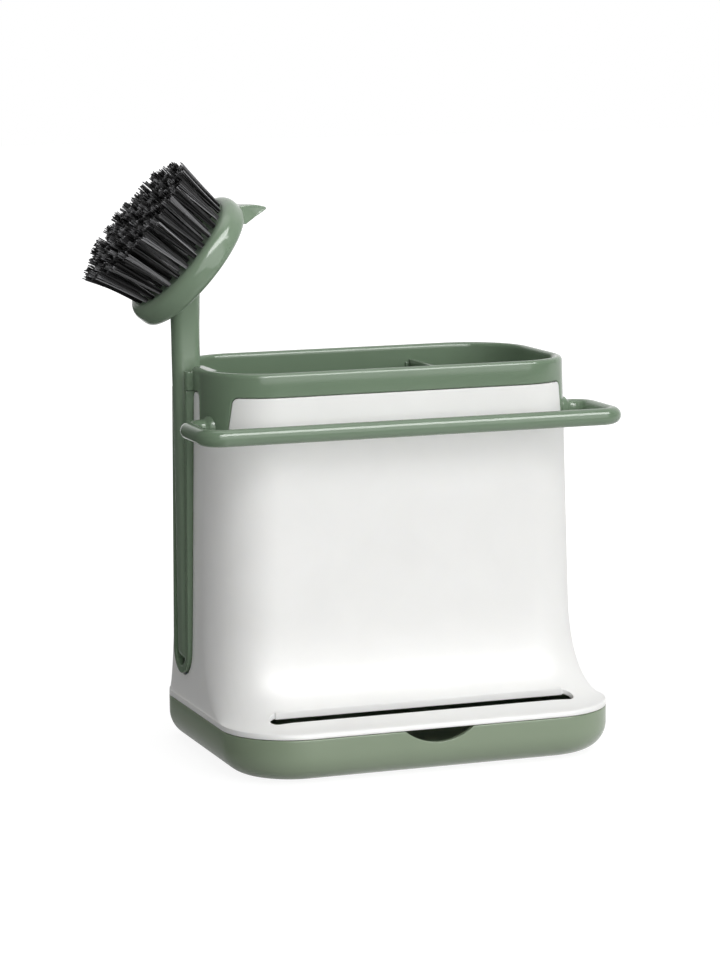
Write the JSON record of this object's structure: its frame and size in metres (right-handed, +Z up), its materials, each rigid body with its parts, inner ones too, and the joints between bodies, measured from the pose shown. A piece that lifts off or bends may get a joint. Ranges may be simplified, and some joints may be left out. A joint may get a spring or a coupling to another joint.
{
  "type": "sink organizer",
  "caption": "Free-standing plastic sink caddy: drip tray, flared shell, lift-out basket with a divider and a towel rail, and a round dish brush in its own channel.",
  "frame": {"origin": "centre of the drip tray's flat underside", "axes": "+Z up, -Y towards the front ledge and the towel rail, -X towards the brush"},
  "size_m": [0.2329, 0.1394, 0.2741],
  "materials": {
    "green_plastic": "satin-gloss moulded polypropylene, sage green",
    "white_plastic": "satin moulded plastic, white",
    "black_bristle": "nylon filament, black",
    "foot_rubber": "matt rubber"
  },
  "bodies": {
    "tray": {"drip_tray": "green_plastic", "foot_front_left": "foot_rubber", "foot_front_right": "foot_rubber", "foot_back_left": "foot_rubber", "foot_back_right": "foot_rubber"},
    "shell": {"body_shell": "white_plastic"},
    "insert": {"top_insert": "green_plastic", "towel_rail": "green_plastic", "brush_channel": "green_plastic"},
    "divider": {"divider": "green_plastic"},
    "brush": {"brush_body": "green_plastic", "bristles": "black_bristle"}
  },
  "joints": [
    {"name": "shell_lift", "type": "slide", "parent": "tray", "child": "shell", "axis": [0, 0, 1], "range_m": [0, 0.05]},
    {"name": "insert_lift", "type": "slide", "parent": "shell", "child": "insert", "axis": [0, 0, 1], "range_m": [0, 0.14]},
    {"name": "divider_lift", "type": "slide", "parent": "insert", "child": "divider", "axis": [0, 0, 1], "range_m": [0, 0.135]},
    {"name": "brush_lift", "type": "slide", "parent": "insert", "child": "brush", "axis": [0, 0, 1], "range_m": [0, 0.15]}
  ]
}
